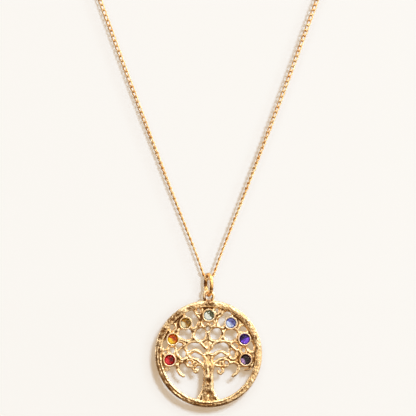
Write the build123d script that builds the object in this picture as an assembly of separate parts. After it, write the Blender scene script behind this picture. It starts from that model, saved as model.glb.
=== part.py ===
from build123d import *
from math import atan2, cos, degrees, hypot, pi, radians, sin, tan
import os

# Tree of life pendant on a fine curb chain. Millimetres, +Z up, the front faces -Y.
# The origin is the seat under the closed clasp, at the top of the hanging loop.

# Rim of the pendant
RIM_DIAMETER = 22.0
RIM_WIDTH = 1.35
RIM_DEPTH = 1.7
RIM_EDGE_RADIUS = 0.45

# Pierced tree between the rim's walls
BRANCH_DEPTH = 0.62
CREST_DEPTH = 1.02
CREST_STEP = 0.13
LIMB_DEPTH = 1.3
TRUNK_DEPTH = 1.6
TRUNK_EDGE_RADIUS = 0.5
KNOT_DEPTH = 1.5

# Stones
STONE_DIAMETER = 2.1
STONE_CROWN = 0.34
STONE_GIRDLE = 0.12
STONE_PAVILION = 0.74
TABLE_DIAMETER = 1.15
FACETS_AROUND = 8
CORNER_FACET_TILT = 8.0

# Settings that hold the stones
STONE_FIT = 0.06
STONE_INSET = 0.1
BEZEL_WALL = 0.27
BEZEL_FRONT = 1.0
BEZEL_BACK = 0.5
SEAT_LEDGE = 0.25

# Loop on the rim, jump ring and chain
LOOP_DIAMETER = 2.6
LOOP_WIRE = 0.65
LOOP_RISE = 0.92
RING_DIAMETER = 5.0
RING_WIRE = 0.76
RING_TURN = 17.0
CHAIN_WIDTH = 1.0
HANG_GAP = 0.1

# Clasp at the back of the neck: a barrel with an eye at each end
CLASP_LENGTH = 9.0
CLASP_DIAMETER = 3.0
CLASP_NOSE = 1.2
EYE_DIAMETER = 2.0
EYE_WIRE = 0.45

# Half of the chain's route, from the bend under the jump ring up to the clasp's eye:
# distance from the middle, height above the bend
CHAIN_ROUTE = [
    (0.75, 0.0),
    (1.65, 2.75),
    (3.6, 7.9),
    (7.8, 18.5),
    (15.1, 37.6),
    (24.2, 62.5),
    (34.9, 93.4),
    (44.5, 121.0),
    (49.2, 146.2),
    (42.3, 171.2),
    (28.2, 185.2),
    (14.5, 189.8),
    (6.4, 189.8),
]
BEND_SHARE = 0.45

# Tables of the tree: every place and width is in hundredths of the rim's radius,
# measured from the rim's centre to the right and up

# Stone, angle from the right, distance from the centre
STONES = [
    ("red", 188.9, 73.6),
    ("orange", 157.5, 72.2),
    ("yellow", 126.5, 71.6),
    ("green", 89.5, 72.3),
    ("blue", 54.3, 71.4),
    ("indigo", 22.5, 72.7),
    ("purple", -8.5, 70.0),
]

# Underside of the crown of branches, from the left wall of the rim to the right one
UNDERSIDE = [
    (-96, -10), (-84, -22), (-73, -25), (-62, -23), (-55, -21), (-50, -18), (-45, -19),
    (-41, -24), (-36, -26.5), (-29, -27), (-23, -24.5), (-18, -22.5), (-13, -25.5), (-8, -33),
    (0, -40), (8, -31), (12, -24), (17, -21.5), (26, -25), (33, -25.5), (38, -22), (42, -19),
    (49, -19.5), (54, -24), (62, -25), (71, -25), (84, -20), (96, -10),
]

# Openings between the branches, each a closed smooth outline
OPENINGS = [
    # beside the upper stones
    [(-44, 72), (-41, 78), (-36, 81), (-31, 82), (-27, 76), (-22, 69), (-19, 63), (-21, 58),
     (-25, 52), (-29, 50), (-31, 55), (-32, 61), (-36, 67), (-41, 70)],
    [(30, 78), (34, 79), (40, 77), (42, 75), (40, 71), (36, 70), (32, 66), (30, 59),
     (27, 52), (22, 51), (19, 56), (18, 63), (22, 68), (27, 73)],
    # four wide round ones across the crown
    [(-55, 38), (-51, 45), (-44, 47), (-36, 46), (-32, 40), (-32, 33), (-36, 28), (-43, 27),
     (-50, 30), (-55, 34)],
    [(-25, 36), (-22, 43), (-17, 47), (-10, 47), (-6, 41), (-6, 35), (-8, 29), (-15, 27),
     (-22, 29)],
    [(3, 36), (4, 41), (9, 46), (15, 48), (21, 47), (23, 40), (22, 33), (18, 28), (11, 27),
     (5, 29)],
    [(31, 38), (34, 43), (41, 45), (49, 44), (53, 39), (52, 32), (47, 27), (41, 25), (34, 28),
     (31, 32)],
    # three-cornered ones near the rim
    [(64, 52), (67, 50), (71, 45), (70, 43), (62, 43), (57, 43), (58, 47), (60, 50)],
    [(80, 22), (73, 14), (75, 9), (78, 7), (83, 7), (84, 11), (84, 14), (82, 19)],
    [(45, 19), (51, 20), (54, 17), (55, 12), (52, 10), (48, 14)],
    [(-55, 21), (-52, 20), (-47, 17), (-53, 12), (-58, 8), (-60, 12), (-59, 18)],
    [(-49, 9), (-45, 6), (-42, 0), (-43, -6), (-48, -8), (-53, -4), (-56, 1), (-56, 4)],
    # two long arches on each side of the bud
    [(-40, 10), (-38, 16), (-31, 20), (-24, 20), (-15, 17), (-9, 10), (-5, 5), (-8, 2),
     (-13, 4), (-20, 9), (-27, 10), (-32, 8), (-36, 5)],
    [(-33, -4), (-29, 1), (-24, 2), (-17, -1), (-11, -6), (-9, -11), (-10, -15), (-16, -12),
     (-22, -7), (-29, -7)],
    [(3, 6), (8, 10), (11, 16), (18, 19), (26, 21), (33, 19), (37, 13), (38, 7), (36, 3),
     (31, 4), (25, 7), (18, 7), (12, 4), (6, 2)],
    [(9, -11), (10, -7), (16, -2), (22, 1), (27, 1), (31, -3), (29, -6), (22, -7), (17, -9),
     (13, -14), (9, -15)],
]

# Round and oval openings: across, up, half width, half height, turn in degrees
OVALS = [
    (-68, 49, 3.7, 5.6, -20),
    (-18.5, 81, 3.8, 3.8, 0),
    (15.5, 81, 3.6, 3.6, 0),
    (-7, 57, 3.2, 3.2, 0),
    (6, 57, 3.0, 3.0, 0),
    (-81, 17, 4.7, 8.6, -3),
    (-81, 4, 2.8, 2.8, 0),
    (-68, 7, 4.5, 5.6, -8),
    (65, 7.5, 3.6, 4.7, 0),
    (45, 0, 4.5, 6.7, 8),
    (-35, -17, 3.4, 3.4, 0),
    (33, -17, 3.2, 3.2, 0),
    (-1.5, 47.5, 2.6, 5.0, -12),
]

# Hooks, scrolls and drops that hang below the crown: width, then the points along the middle
HANGING = [
    (6.6, [(-57, -20), (-58, -29), (-56, -34), (-52, -38.5), (-47, -41)]),
    (6.0, [(56, -22), (56, -29), (54.5, -33), (50.5, -37.5), (45, -41)]),
    (5.2, [(16, -19), (22, -23), (27, -29), (26.5, -34), (22.5, -37), (18.5, -35.5), (17.5, -31.5)]),
    (5.5, [(-30, -24), (-28, -29)]),
    (10.6, [(-24, -31.5), (-23.5, -31.8)]),
    (3.0, [(-80, -22), (-81, -27), (-77.5, -30.5), (-73.5, -28), (-74, -23)]),
    (4.6, [(83, -20), (77.5, -27.5), (73.5, -29), (68, -30)]),
]

# Limbs that stand out from the crown: width, then the points along the middle
LIMBS = [
    (7.5, [(-4, -26), (-10, -20), (-15, -18), (-20, -13.5), (-26, -10), (-34, -8), (-40, -8.5)]),
    (7.0, [(4, -26), (8, -20), (13, -16.5), (19.5, -11), (26, -9), (34, -8.5), (38, -8),
           (42, -10), (48, -13)]),
    (4.6, [(-37, 2), (-31, 6), (-26, 6.5), (-20, 5), (-12, 0), (-6, -4)]),
    (4.6, [(3, -3), (9, -0.5), (16, 3), (25, 4), (31, 0), (36, -3)]),
    (4.4, [(-7, 12), (-12, 19), (-20, 23), (-28, 25), (-29, 33), (-28.5, 41), (-28, 47)]),
    (4.4, [(6, 12), (10, 20), (18, 23.5), (26, 25), (27.5, 33), (26.5, 41), (25.5, 48)]),
    (4.0, [(-61, 3), (-53, 10), (-46, 16.5), (-40, 22)]),
    (4.0, [(59, 2), (51, 9), (42, 16), (40, 22)]),
    (4.8, [(-2, 24), (-0.5, 33), (-1, 41)]),
    (4.2, [(-28, 47), (-20, 52), (-12, 53), (-5, 51)]),
    (4.2, [(25, 48), (18, 52), (10, 53), (4, 51)]),
    (4.0, [(6, -21), (15, -22), (21, -24)]),
]

# Knots where branches meet: across, up, radius
KNOTS = [
    (-2, 17, 7.5),
    (-43, -10, 4.5),
    (-51, -13, 4.0),
    (-59, -4, 4.6),
    (-40, 0, 3.6),
    (49, -10, 4.5),
    (57, -15, 4.6),
    (41, -15, 4.0),
    (24, -18, 5.0),
    (-25, -18, 4.0),
    (0, -6, 7.0),
    (-24, -31.5, 4.4),
    (-2, 55, 3.6),
]

# Trunk, from the rim up into the crown: height, left edge, right edge, percent of its depth
TRUNK = [
    (-92, -27, 24, 85),
    (-81, -20.5, 17.5, 95),
    (-75, -16.5, 13.5, 100),
    (-65, -12.5, 9.5, 100),
    (-52, -10, 8.6, 100),
    (-26, -9, 8.8, 100),
    (-12, -8.5, 8.5, 90),
    (0, -6, 6, 66),
]

# Sizes and heights that follow from the ones above
RIM_RADIUS = RIM_DIAMETER / 2
UNIT = RIM_RADIUS / 100
STONE_RADIUS = STONE_DIAMETER / 2
SETTING_BORE = STONE_RADIUS + STONE_FIT
RING_MEAN = (RING_DIAMETER - RING_WIRE) / 2
CLASP_Z = CLASP_DIAMETER / 2
EYE_X = (CLASP_LENGTH + EYE_DIAMETER) / 2 - EYE_WIRE
CHAIN_END_X = EYE_X + EYE_DIAMETER / 2 + HANG_GAP
BEND_Z = CLASP_Z - CHAIN_ROUTE[-1][1]
RING_Z = BEND_Z + CHAIN_WIDTH / 2 + HANG_GAP + RING_WIRE / 2 - RING_MEAN
RING_FOOT_Z = RING_Z - RING_MEAN
LOOP_Z = RING_FOOT_Z + RING_WIRE / 2 + HANG_GAP - (LOOP_DIAMETER / 2 - LOOP_WIRE)
RIM_Z = LOOP_Z - LOOP_RISE - RIM_RADIUS


def place(across, up):
    """A point of the tree's tables, in millimetres from the rim's centre."""
    return (across * UNIT, up * UNIT)


def upright(flat, depth, front=None):
    """Stands a flat drawing up in the pendant and gives it its thickness."""
    front = depth / 2 if front is None else front
    return extrude(Plane.XZ.offset(front - depth) * flat, depth)


def smooth_outline(points, grow):
    """A closed smooth face through points, moved outwards from its middle by grow."""
    middle_x = sum(x for x, _ in points) / len(points)
    middle_z = sum(z for _, z in points) / len(points)
    moved = []
    for x, z in points:
        reach = hypot(x - middle_x, z - middle_z)
        scale = (reach + grow) / reach
        moved.append((middle_x + (x - middle_x) * scale, middle_z + (z - middle_z) * scale))
    return make_face(Spline(*moved, periodic=True))


def stroke(points, width):
    """A band of even width with round ends along a row of points."""
    band = Pos(*points[0]) * Circle(width / 2)
    for (x0, z0), (x1, z1) in zip(points, points[1:]):
        length = hypot(x1 - x0, z1 - z0)
        turn = degrees(atan2(z1 - z0, x1 - x0))
        bar = Pos((x0 + x1) / 2, (z0 + z1) / 2) * Rot(0, 0, turn) * Rectangle(length, width)
        band += [bar, Pos(x1, z1) * Circle(width / 2)]
    return band


def table_strokes(rows, narrower=0.0):
    """All the strokes of one table as one flat drawing."""
    drawing = []
    for width, points in rows:
        drawing.append(stroke([place(*point) for point in points], width * UNIT - narrower))
    return drawing


def crown(grow):
    """The flat crown of branches, drawn in by grow along every edge."""
    points = [(x, z + grow) for x, z in (place(*point) for point in UNDERSIDE)]
    line = Spline(*points)
    cap = Polyline(points[-1], (RIM_RADIUS, RIM_RADIUS), (-RIM_RADIUS, RIM_RADIUS), points[0])
    field = make_face([line, cap]) & Circle(RIM_RADIUS - RIM_WIDTH / 2 - grow)
    holes = [smooth_outline([place(*point) for point in outline], grow) for outline in OPENINGS]
    for across, up, half_width, half_height, turn in OVALS:
        oval = Ellipse(half_width * UNIT + grow, half_height * UNIT + grow)
        holes.append(Pos(*place(across, up)) * Rot(0, 0, turn) * oval)
    return field - holes


def knots():
    return [Pos(*place(across, up)) * Circle(radius * UNIT) for across, up, radius in KNOTS]


def stone_middle(angle, distance):
    return (distance * UNIT * cos(radians(angle)), distance * UNIT * sin(radians(angle)))


def bored(flat, share):
    """A flat drawing with a hole for each setting, ending at a share of the setting's wall."""
    hole = Circle(SETTING_BORE + BEZEL_WALL * share)
    return flat - [Pos(*stone_middle(*row[1:])) * hole for row in STONES]


def rim():
    """The round frame, one turn of a bar with rounded edges."""
    bar = RectangleRounded(RIM_WIDTH, RIM_DEPTH, RIM_EDGE_RADIUS)
    return revolve(Pos(RIM_RADIUS - RIM_WIDTH / 2, 0) * bar, Axis.Y)


def trunk():
    """The trunk, widening to its foot on the rim, through rounded sections."""
    sections = []
    for up, left, right, depth_percent in TRUNK:
        width = (right - left) * UNIT
        depth = TRUNK_DEPTH * depth_percent / 100
        edge = min(TRUNK_EDGE_RADIUS, width / 3, depth / 3)
        middle, z = place((left + right) / 2, up)
        sections.append(Pos(middle, 0, z) * RectangleRounded(width, depth, edge))
    return loft(sections, ruled=True)


def seat_depth():
    """How far behind a setting's front its ledge lies, so that the stone's slope clears it."""
    widest = STONE_RADIUS / cos(pi / FACETS_AROUND)
    down_slope = STONE_PAVILION * (1 - (SETTING_BORE - SEAT_LEDGE) / widest)
    return STONE_INSET + STONE_CROWN + STONE_GIRDLE + down_slope + STONE_FIT


def setting():
    """One cup with a ledge under the stone, open at the back for the light."""
    cup = upright(Circle(SETTING_BORE + BEZEL_WALL), BEZEL_FRONT + BEZEL_BACK, BEZEL_FRONT)
    cup -= upright(Circle(SETTING_BORE), seat_depth(), BEZEL_FRONT)
    return cup - upright(Circle(SETTING_BORE - SEAT_LEDGE), 2 * RIM_DEPTH)


def loop():
    """The round eye that the jump ring passes through, from front to back."""
    return Rot(90, 0, 0) * Torus((LOOP_DIAMETER - LOOP_WIRE) / 2, LOOP_WIRE / 2)


def pendant_frame():
    """Rim, tree, settings and loop: one casting."""
    branches = crown(0) + table_strokes(HANGING)
    crests = crown(CREST_STEP) + table_strokes(HANGING, 2 * CREST_STEP)
    limbs = Sketch() + table_strokes(LIMBS)
    tree = upright(bored(branches, 0.3), BRANCH_DEPTH)
    tree += upright(bored(crests, 0.5), CREST_DEPTH)
    tree += upright(limbs, LIMB_DEPTH)
    tree += upright(bored(Sketch() + knots(), 0.7), KNOT_DEPTH)
    tree += trunk()
    for row in STONES:
        x, z = stone_middle(*row[1:])
        tree += Pos(x, 0, z) * setting()
    tree += rim()
    tree += Pos(0, 0, LOOP_Z - RIM_Z) * loop()
    return Pos(0, 0, RIM_Z) * tree


def facet(stone, turn, reach, depth, slope, side):
    """Cuts one facet through the girdle's edge: side is -1 on the crown, 1 on the pavilion."""
    across, up = cos(radians(turn)), sin(radians(turn))
    outward = Vector(sin(slope) * across, side * cos(slope), sin(slope) * up)
    edge = Vector(reach * across, depth, reach * up)
    return split(stone, Plane(edge, z_dir=outward), keep=Keep.BOTTOM)


def cut_stone():
    """A round stone: table, crown facets, thin girdle and pavilion facets, the table at y=0."""
    step = 180 / FACETS_AROUND
    flat = STONE_RADIUS * cos(radians(step / 2))
    outline = RegularPolygon(STONE_RADIUS, 2 * FACETS_AROUND, rotation=step / 2)
    stone = upright(outline, STONE_CROWN + STONE_GIRDLE + STONE_PAVILION, 0)
    crown_slope = atan2(STONE_CROWN, flat - TABLE_DIAMETER / 2)
    pavilion_slope = atan2(STONE_PAVILION, flat)
    tilt = radians(CORNER_FACET_TILT)
    for number in range(FACETS_AROUND):
        for turn, more in ((2 * step * number, 0), (2 * step * number + step, tilt)):
            stone = facet(stone, turn, flat, STONE_CROWN, crown_slope + more, -1)
            stone = facet(stone, turn, flat, STONE_CROWN + STONE_GIRDLE, pavilion_slope + more, 1)
    return stone


def set_stone(stone, angle, distance):
    """The cut stone in its setting, turned with its place on the circle."""
    x, z = stone_middle(angle, distance)
    return Pos(x, STONE_INSET - BEZEL_FRONT, RIM_Z + z) * Rot(0, -angle, 0) * stone


def jump_ring():
    """The round ring, nearly edge-on to the front, its near side turned to the right."""
    ring = Torus(RING_MEAN, RING_WIRE / 2)
    return Pos(0, 0, RING_Z) * Rot(0, 0, RING_TURN) * Rot(0, 90, 0) * ring


def bend_radii(points):
    """The largest round bend that the two runs beside each corner leave room for."""
    radii = []
    for before, corner, after in zip(points, points[1:], points[2:]):
        into, out = corner - before, after - corner
        half_turn = radians(into.get_angle(out)) / 2
        radii.append(BEND_SHARE * min(into.length, out.length) / tan(half_turn))
    return radii


def chain():
    """The tube that the links run in, once round the whole necklace."""
    half = CHAIN_ROUTE[:-1] + [(CHAIN_END_X, CHAIN_ROUTE[-1][1])]
    right = [Vector(x, 0, BEND_Z + up) for x, up in half]
    left = [Vector(-point.X, 0, point.Z) for point in reversed(right)]
    route = left + right
    radii = bend_radii(route)
    print("chain bend radii", [round(radius, 1) for radius in radii])
    path = FilletPolyline(*route, radius=radii)
    section = Plane(path @ 0, z_dir=path % 0) * Circle(CHAIN_WIDTH / 2)
    tube = sweep(section, path=path)
    print("chain length", round(path.length, 2), "volume", round(tube.volume, 3))
    print("section times length", round(pi * CHAIN_WIDTH ** 2 / 4 * path.length, 3))
    print("whole length with the clasp", round(path.length + 2 * CHAIN_END_X, 2))
    return tube


def clasp():
    """The closed barrel clasp with its two eyes, as one plain piece."""
    barrel = Rot(0, 90, 0) * Cylinder(CLASP_DIAMETER / 2, CLASP_LENGTH)
    body = fillet(barrel.edges().filter_by(GeomType.CIRCLE), CLASP_NOSE)
    eye = Rot(90, 0, 0) * Torus((EYE_DIAMETER - EYE_WIRE) / 2, EYE_WIRE / 2)
    return Pos(0, 0, CLASP_Z) * (body + [Pos(EYE_X, 0, 0) * eye, Pos(-EYE_X, 0, 0) * eye])


solids = {
    "pendant_frame": pendant_frame(),
    "jump_ring": jump_ring(),
    "chain": chain(),
    "clasp": clasp(),
}
one_stone = cut_stone()
for colour, angle, distance in STONES:
    solids[f"stone_{colour}"] = set_stone(one_stone, angle, distance)

os.makedirs("parts", exist_ok=True)
for name, solid in solids.items():
    print(name, "solids", len(solid.solids()), "volume", round(solid.volume, 3))
    export_step(solid, f"parts/{name}.step")
print("bend", BEND_Z, "ring", RING_Z, "ring foot", RING_FOOT_Z, "loop", LOOP_Z, "rim", RIM_Z)
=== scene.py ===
from math import cos, exp, hypot, pi, radians, sin, sqrt, tau

import bmesh
import bpy
import numpy as np
from mathutils import Matrix, Vector, kdtree, noise


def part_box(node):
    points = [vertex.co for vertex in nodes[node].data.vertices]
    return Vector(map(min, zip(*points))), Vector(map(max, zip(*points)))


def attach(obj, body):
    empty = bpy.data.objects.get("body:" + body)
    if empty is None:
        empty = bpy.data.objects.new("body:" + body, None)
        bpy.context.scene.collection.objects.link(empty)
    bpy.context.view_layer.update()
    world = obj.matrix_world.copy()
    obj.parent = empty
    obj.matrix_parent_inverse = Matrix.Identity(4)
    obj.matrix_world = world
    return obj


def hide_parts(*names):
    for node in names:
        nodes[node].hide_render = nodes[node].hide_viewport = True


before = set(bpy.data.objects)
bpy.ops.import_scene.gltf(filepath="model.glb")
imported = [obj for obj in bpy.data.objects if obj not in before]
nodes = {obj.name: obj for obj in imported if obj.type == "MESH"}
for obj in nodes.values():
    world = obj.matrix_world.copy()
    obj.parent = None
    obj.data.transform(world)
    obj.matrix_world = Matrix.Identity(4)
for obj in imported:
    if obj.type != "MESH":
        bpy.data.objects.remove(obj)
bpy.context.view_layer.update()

scene = bpy.context.scene

# Camera
# A long lens straight in front of the hanging necklace. The picture shows the pendant and
# the lower part of the two strands, and is 85.5 mm wide at the pendant.
MM = 0.001
RIM_RADIUS = 11.0
RIM_CENTRE = Vector((0, 0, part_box("pendant_frame")[0].z / MM + RIM_RADIUS))
VIEW_WIDTH = 85.5
VIEW_MIDDLE = Vector((-0.12, 0, 29.98)) + RIM_CENTRE
CAMERA_DISTANCE = 700
CAMERA_PLACE = VIEW_MIDDLE + Vector((0, -CAMERA_DISTANCE, 0))
SENSOR_WIDTH = 36
camera_data = bpy.data.cameras.new("camera")
camera_data.sensor_fit = "HORIZONTAL"
camera_data.sensor_width = SENSOR_WIDTH
camera_data.lens = SENSOR_WIDTH * CAMERA_DISTANCE / VIEW_WIDTH
camera_data.clip_end = 20
camera = bpy.data.objects.new("camera", camera_data)
camera.location = CAMERA_PLACE * MM
camera.rotation_euler = (pi / 2, 0, 0)
scene.collection.objects.link(camera)
scene.camera = camera
scene.view_settings.view_transform = "Standard"

# Backdrop and floor
# A plain pale board behind the necklace, far enough back for the pendant to swing, and a
# pale floor under it. The board is seen from its front only, so the back view is open.
BOARD_GAP = 28.5
BOARD_SIZE = 1400
# the board's two parts meet behind the top of the rim, where the two shadows part
BOARD_SEAM = 10.4
STAGE_PAINT = 0.1
BOARD_GLOW = (0.403, 0.245, 0.10)
FAR_GLOW = (0.862, 0.838, 0.808)
# the lamps' light on the board falls with the fourth power of the distance
LAMP_FADE = 4
FLOOR_DROP = 90
FLOOR_GLOW = (0.80, 0.775, 0.735)
to_board = CAMERA_DISTANCE + BOARD_GAP


def keep(name, mesh_source, body=None, replaced=(), smooth=True):
    """Makes an object of a mesh in millimetres, and says what it rides on and stands for."""
    if isinstance(mesh_source, bmesh.types.BMesh):
        mesh = bpy.data.meshes.new(name)
        mesh_source.to_mesh(mesh)
        mesh_source.free()
    else:
        mesh = mesh_source
        mesh.name = name
    mesh.transform(Matrix.Scale(MM, 4))
    mesh.polygons.foreach_set("use_smooth", [smooth] * len(mesh.polygons))
    piece = bpy.data.objects.new(name, mesh)
    scene.collection.objects.link(piece)
    if body:
        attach(piece, body)
    if replaced:
        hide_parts(*replaced)
    return piece


def feed(tree, socket, value):
    """Links an output to a socket, or sets the socket to a plain value."""
    if isinstance(value, bpy.types.NodeSocket):
        tree.links.new(value, socket)
    else:
        socket.default_value = value


def math_node(tree, operation, first, second):
    node = tree.nodes.new("ShaderNodeMath")
    node.operation = operation
    feed(tree, node.inputs[0], first)
    feed(tree, node.inputs[1], second)
    return node.outputs[0]


def vector_node(tree, operation, first, second=None):
    node = tree.nodes.new("ShaderNodeVectorMath")
    node.operation = operation
    feed(tree, node.inputs[0], first)
    if second is not None:
        feed(tree, node.inputs["Scale" if operation == "SCALE" else 1], second)
    gives_number = operation in ("DISTANCE", "DOT_PRODUCT", "LENGTH")
    return node.outputs["Value" if gives_number else "Vector"]


def mix(tree, share, first, second, blend="MIX"):
    node = tree.nodes.new("ShaderNodeMix")
    node.data_type = "RGBA"
    node.blend_type = blend
    feed(tree, node.inputs["Factor"], share)
    feed(tree, node.inputs["A"], first)
    feed(tree, node.inputs["B"], second)
    return node.outputs["Result"]


def stage_material(name, glow_colour, is_board):
    """Dull paint that glows a little, so that the stage stays pale all over."""
    material = bpy.data.materials.new(name)
    material.use_nodes = True
    tree = material.node_tree
    tree.nodes.clear()
    out = tree.nodes.new("ShaderNodeOutputMaterial")
    glow = tree.nodes.new("ShaderNodeEmission")
    paint = tree.nodes.new("ShaderNodeBsdfDiffuse")
    paint.inputs["Color"].default_value = (STAGE_PAINT, STAGE_PAINT, STAGE_PAINT, 1)
    both = tree.nodes.new("ShaderNodeAddShader")
    tree.links.new(glow.outputs[0], both.inputs[0])
    tree.links.new(paint.outputs[0], both.inputs[1])
    if not is_board:
        glow.inputs["Color"].default_value = (*glow_colour, 1)
        tree.links.new(both.outputs[0], out.inputs[0])
        return material
    # the lamps fade away from the middle, and the board's own light makes up for it
    coords = tree.nodes.new("ShaderNodeTexCoord")
    lamps = (VIEW_MIDDLE + Vector((0, BOARD_GAP - to_board, 0))) * MM
    off = vector_node(tree, "DISTANCE", coords.outputs["Object"], lamps)
    fade = math_node(tree, "POWER", math_node(tree, "DIVIDE", to_board * MM, off), LAMP_FADE)
    tree.links.new(mix(tree, fade, (*FAR_GLOW, 1), (*glow_colour, 1)), glow.inputs["Color"])
    clear = tree.nodes.new("ShaderNodeBsdfTransparent")
    side = tree.nodes.new("ShaderNodeNewGeometry")
    choose = tree.nodes.new("ShaderNodeMixShader")
    tree.links.new(side.outputs["Backfacing"], choose.inputs[0])
    tree.links.new(both.outputs[0], choose.inputs[1])
    tree.links.new(clear.outputs[0], choose.inputs[2])
    tree.links.new(choose.outputs[0], out.inputs[0])
    return material


board_paint = stage_material("pale_board", BOARD_GLOW, True)
boards = []
BOARD_PARTS = [
    ("backdrop_low", BOARD_SEAM - BOARD_SIZE / 2, BOARD_SEAM),
    ("backdrop_high", BOARD_SEAM, BOARD_SEAM + BOARD_SIZE / 2),
]
for name, low, high in BOARD_PARTS:
    board_mesh = bmesh.new()
    bmesh.ops.create_grid(board_mesh, x_segments=1, y_segments=1, size=0.5)
    bmesh.ops.scale(board_mesh, verts=board_mesh.verts, vec=(BOARD_SIZE, high - low, 1))
    bmesh.ops.rotate(board_mesh, verts=board_mesh.verts, matrix=Matrix.Rotation(pi / 2, 3, "X"))
    middle = RIM_CENTRE + Vector((0, BOARD_GAP, (low + high) / 2))
    bmesh.ops.translate(board_mesh, verts=board_mesh.verts, vec=middle)
    board = keep(name, board_mesh)
    board.data.materials.append(board_paint)
    board.visible_shadow = False
    board.visible_glossy = False
    board.visible_transmission = False
    boards.append(board)
floor_mesh = bmesh.new()
bmesh.ops.create_grid(floor_mesh, x_segments=1, y_segments=1, size=BOARD_SIZE)
bmesh.ops.translate(floor_mesh, verts=floor_mesh.verts, vec=RIM_CENTRE - Vector((0, 0, FLOOR_DROP)))
floor = keep("floor", floor_mesh)
floor.data.materials.append(stage_material("pale_floor", FLOOR_GLOW, False))
floor.visible_glossy = False

# Light
# Soft light from the upper right, brightest there and brown at the lower left, with a few
# panels for the highlights. Far lamps light only the board and throw the shadows on it: the
# chain's lies closer than the pendant's, because the chain is nearer to the board.
low_board = bpy.data.collections.new("lit_behind_the_pendant")
high_board = bpy.data.collections.new("lit_behind_the_chain")
whole_board = bpy.data.collections.new("lit_all_over")
not_board = bpy.data.collections.new("not_lit_by_the_panels")
low_board.objects.link(boards[0])
high_board.objects.link(boards[1])
for board in boards:
    whole_board.objects.link(board)
for piece in (*boards, floor):
    not_board.objects.link(piece)
for member in not_board.collection_objects:
    member.light_linking.link_state = "EXCLUDE"
# name, where its shadow falls beside the piece in the picture, its size, colour, board
SHADOW_LAMPS = [
    ("pendant_lamp", (-1.0, -1.25), 20, (0.285, 0.368, 0.446), low_board),
    ("chain_lamp", (-0.72, -0.05), 11, (0.285, 0.368, 0.446), high_board),
    ("soft_lamp", (-1.0, -1.1), 120, (0.174, 0.225, 0.262), whole_board),
]
for name, (aside, down), size, colour, lit_board in SHADOW_LAMPS:
    data = bpy.data.lights.new(name, "AREA")
    data.shape = "DISK"
    data.size = size * MM
    data.energy = (pi * to_board * MM) ** 2 / STAGE_PAINT
    data.color = colour
    lamp = bpy.data.objects.new(name, data)
    beside = Vector((-aside, 0, -down)) * to_board / BOARD_GAP
    lamp.location = (CAMERA_PLACE + beside) * MM
    lamp.rotation_euler = (pi / 2, 0, 0)
    lamp.light_linking.receiver_collection = lit_board
    scene.collection.objects.link(lamp)

# name, place, size, brightness, colour
PANELS = [
    ("panel_upper_right", (300, -300, 300), (190, 190), 6.2, (1, 0.95, 0.84)),
    ("panel_upper_left", (-300, -300, 260), (90, 90), 6.2, (1, 0.97, 0.92)),
    ("panel_front_low", (60, -420, -160), (100, 40), 2.0, (1, 0.97, 0.92)),
    ("panel_front", (160, -420, 120), (70, 150), 3.5, (1, 0.98, 0.94)),
    ("panel_top", (0, -120, 480), (120, 120), 7.2, (1, 0.98, 0.95)),
    ("panel_back_right", (300, 350, 220), (220, 220), 4.0, (1, 0.98, 0.95)),
    ("panel_back_left", (-320, 320, 60), (140, 260), 2.5, (1, 0.97, 0.92)),
]
for name, place, size, brightness, colour in PANELS:
    place = Vector(place)
    data = bpy.data.lights.new(name, "AREA")
    data.shape = "RECTANGLE"
    data.size, data.size_y = (side * MM for side in size)
    data.energy = brightness * pi * data.size * data.size_y
    data.color = colour
    panel = bpy.data.objects.new(name, data)
    panel.location = (RIM_CENTRE + place) * MM
    panel.rotation_euler = (-place).to_track_quat("-Z", "Y").to_euler()
    panel.light_linking.receiver_collection = not_board
    scene.collection.objects.link(panel)


def remap(tree, value, low, high, to_low=0.0, to_high=1.0):
    """Stretches a value from one span to another, and stops at the ends."""
    node = tree.nodes.new("ShaderNodeMapRange")
    feed(tree, node.inputs["Value"], value)
    for socket, number in (("From Min", low), ("From Max", high), ("To Min", to_low), ("To Max", to_high)):
        node.inputs[socket].default_value = number
    return node.outputs["Result"]


PALE = (0.956, 0.930, 0.888, 1)
BRIGHT_SIDE = Vector((0.55, -0.15, 0.8)).normalized()
# the room's light, from the side away from the bright one up to it
SKY = [
    (0.0, (0.27, 0.17, 0.09)), (0.3, (0.35, 0.24, 0.14)), (0.45, (0.54, 0.43, 0.31)),
    (0.55, (0.92, 0.82, 0.69)), (0.7, (1.26, 1.15, 0.98)), (1.0, (1.58, 1.45, 1.18)),
]
world = bpy.data.worlds.new("studio")
scene.world = world
world.use_nodes = True
tree = world.node_tree
tree.nodes.clear()
world_out = tree.nodes.new("ShaderNodeOutputWorld")
seen = tree.nodes.new("ShaderNodeBackground")
seen.inputs["Color"].default_value = PALE
around = tree.nodes.new("ShaderNodeBackground")
where = tree.nodes.new("ShaderNodeTexCoord")
toward = vector_node(tree, "DOT_PRODUCT", where.outputs["Generated"], BRIGHT_SIDE)
ramp = tree.nodes.new("ShaderNodeValToRGB")
tree.links.new(remap(tree, toward, -1, 1), ramp.inputs[0])
stops = ramp.color_ramp.elements
for end in (0, -1):
    position, colour = SKY[end]
    stops[end].position = position
    stops[end].color = (*colour, 1)
for position, colour in SKY[1:-1]:
    stops.new(position).color = (*colour, 1)
tree.links.new(ramp.outputs[0], around.inputs["Color"])
rays = tree.nodes.new("ShaderNodeLightPath")
pick = tree.nodes.new("ShaderNodeMixShader")
tree.links.new(rays.outputs["Is Camera Ray"], pick.inputs[0])
tree.links.new(around.outputs[0], pick.inputs[1])
tree.links.new(seen.outputs[0], pick.inputs[2])
tree.links.new(pick.outputs[0], world_out.inputs[0])

# Tree casting
# Rim, trunk, branches, knots and scrolls are one lost-wax casting in gold-plated brass. Each
# opening is edged by a soft round wire of metal, and the rim is hammered all round.
VOXEL = 0.1
MERGE = 0.001
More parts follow.
